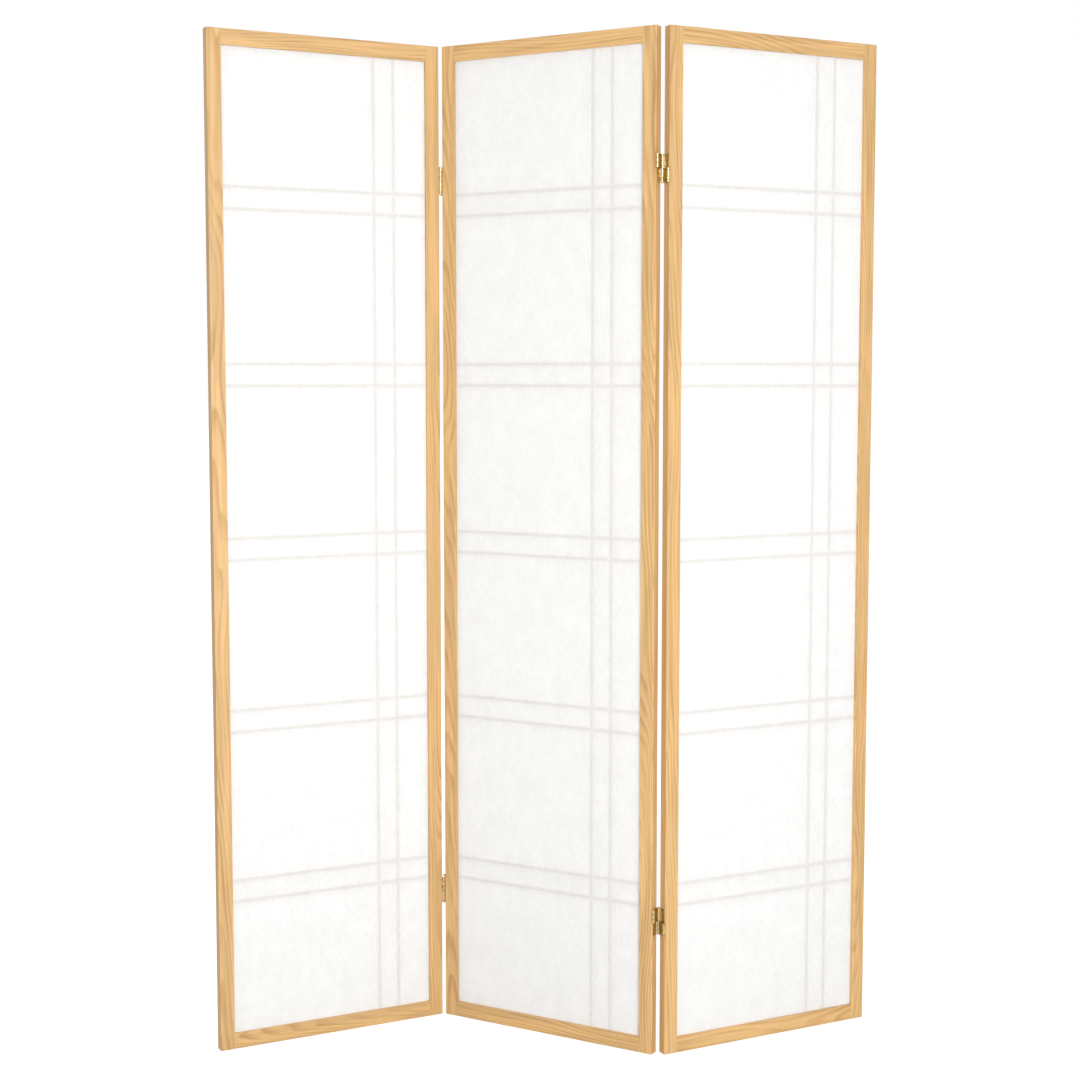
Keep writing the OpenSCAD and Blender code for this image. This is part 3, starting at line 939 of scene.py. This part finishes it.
class SHOJI_OT_lattice(bpy.types.Operator):
    """Build the half-lapped cross bars and upright bars"""

    bl_idname = "shoji.lattice"
    bl_label = "Lattice Bars"

    def execute(self, context):
        settings = context.scene.shoji_wood
        material = spruce("bar_spruce", settings.bar_early, settings.bar_late,
                          settings.bar_ring_width, settings)
        rounds = (settings.bar_round, settings.bar_round)
        draw = np.random.default_rng(settings.seed + 1)
        for panel in PANELS:
            uprights = upright_boxes(panel)
            crosses = cross_bar_boxes(panel)
            for name, bars in crosses.items():
                parts = [lapped_bar(bar, uprights, "cross", rounds) for bar in bars]
                make_member(panel, name, parts, "bar_spruce", material, draw)
            all_crosses = [bar for bars in crosses.values() for bar in bars]
            parts = [lapped_bar(bar, all_crosses, "upright", rounds) for bar in uprights]
            make_member(panel, "upright_bars", parts, "bar_spruce", material, draw)
        return {"FINISHED"}


class SHOJI_OT_paper(bpy.types.Operator):
    """Build the three sheets of paper"""

    bl_idname = "shoji.paper"
    bl_label = "Paper"

    def execute(self, context):
        material = shoji_paper(context.scene.shoji_paper)
        for panel in PANELS:
            low, high = place(panel, "paper")
            spots = sheet_grid(low, high)
            name = f"{panel}_panel_paper"
            mesh = surface_mesh(f"{name}_sheet", [turned(spots.reshape(-1, 3), HEADING[panel])
                                                  .reshape(spots.shape)])
            made = np.empty(3 * len(mesh.vertices), np.float32)
            mesh.vertices.foreach_get("co", made)
            local = turned(made.reshape(-1, 3).astype(float), -HEADING[panel]) - (low[0], low[1], 0)
            store = mesh.attributes.new("sheet", "FLOAT_VECTOR", "POINT")
            store.data.foreach_set("vector", local.astype(np.float32).ravel())
            finish_piece(mesh, f"{name}_sheet", f"{panel}_panel", "paper", [name], material)
        return {"FINISHED"}


class SHOJI_OT_hinges(bpy.types.Operator):
    """Finish the leaves, links and pins of the four hinges"""

    bl_idname = "shoji.hinges"
    bl_label = "Hinges"

    def execute(self, context):
        settings = context.scene.shoji_brass
        aged = brass("hinge_brass", settings.aged, settings.dull, settings.roughness + 0.08)
        rubbed = brass("rubbed_brass", settings.bright, settings.aged, settings.roughness)
        # painted shade for the grooves between knuckles: a near-black brass on the knuckles' rims
        shaded_grooves = brass("painted_groove_shade_brass", settings.groove_shade_colour, settings.groove_shade_colour, settings.roughness + 0.25)
        for fold in FOLDS:
            for height in HEIGHTS:
                for piece in HINGE_PIECES:
                    eased_copy(f"{fold}_fold_{height}_{piece}", "hinge_brass", settings,
                               aged, rubbed, shaded_grooves)
            eased_copy(f"{fold}_fold_centre_pins", "pin_brass", settings, rubbed, rubbed, rubbed)
        for panel in PANELS:
            eased_copy(f"{panel}_panel_hinge_pins", "pin_brass", settings, rubbed, rubbed, rubbed)
        return {"FINISHED"}


class SHOJI_OT_screws(bpy.types.Operator):
    """Finish the hinge screws"""

    bl_idname = "shoji.screws"
    bl_label = "Hinge Screws"

    def execute(self, context):
        settings = context.scene.shoji_brass
        material = brass("screw_brass", settings.bright, settings.aged, settings.roughness + 0.04)
        for panel in PANELS:
            screws = frame["nodes"][f"{panel}_panel_hinge_screws"]
            screws.data.materials.clear()
            screws.data.materials.append(material)
        return {"FINISHED"}


class SHOJI_OT_stage(bpy.types.Operator):
    """Set up the floor, the lights and the camera"""

    bl_idname = "shoji.stage"
    bl_label = "Stage"

    def execute(self, context):
        settings = context.scene.shoji_stage
        scene = context.scene
        scene.view_settings.view_transform = "Standard"
        make_floor()
        make_sky(scene, settings.sky)
        make_soft_light(scene, "key_light", settings.key, bearing=12, rise=5, distance=3.2)
        make_soft_light(scene, "back_light", settings.back, bearing=200, rise=12, distance=3.6)
        make_camera(scene, settings)
        return {"FINISHED"}


class SHOJI_PT_pieces(bpy.types.Panel):
    """The screen's pieces, in the order in which they are built"""

    bl_idname = "SHOJI_PT_pieces"
    bl_label = "Folding Shoji Screen"
    bl_space_type = "VIEW_3D"
    bl_region_type = "UI"
    bl_category = "Shoji"

    def draw(self, context):
        for operator in OPERATORS:
            self.layout.operator(operator.bl_idname)
        for name in SETTINGS:
            box = self.layout.box()
            group = getattr(context.scene, name)
            for key in group.__annotations__:
                box.prop(group, key)


SETTINGS = {"shoji_wood": ShojiWood, "shoji_paper": ShojiPaper, "shoji_brass": ShojiBrass,
            "shoji_stage": ShojiStage}
OPERATORS = (SHOJI_OT_frames, SHOJI_OT_lattice, SHOJI_OT_paper, SHOJI_OT_hinges, SHOJI_OT_screws,
             SHOJI_OT_stage)


def register():
    for kind in (*SETTINGS.values(), *OPERATORS, SHOJI_PT_pieces):
        bpy.utils.register_class(kind)
    for name, kind in SETTINGS.items():
        setattr(bpy.types.Scene, name, PointerProperty(type=kind))


def unregister():
    for name in SETTINGS:
        delattr(bpy.types.Scene, name)
    for kind in reversed((*SETTINGS.values(), *OPERATORS, SHOJI_PT_pieces)):
        bpy.utils.unregister_class(kind)


def main():
    register()
    bpy.ops.shoji.stage()
    bpy.ops.shoji.frames()
    bpy.ops.shoji.lattice()
    bpy.ops.shoji.paper()
    bpy.ops.shoji.hinges()
    bpy.ops.shoji.screws()


if __name__ == "__main__":
    main()
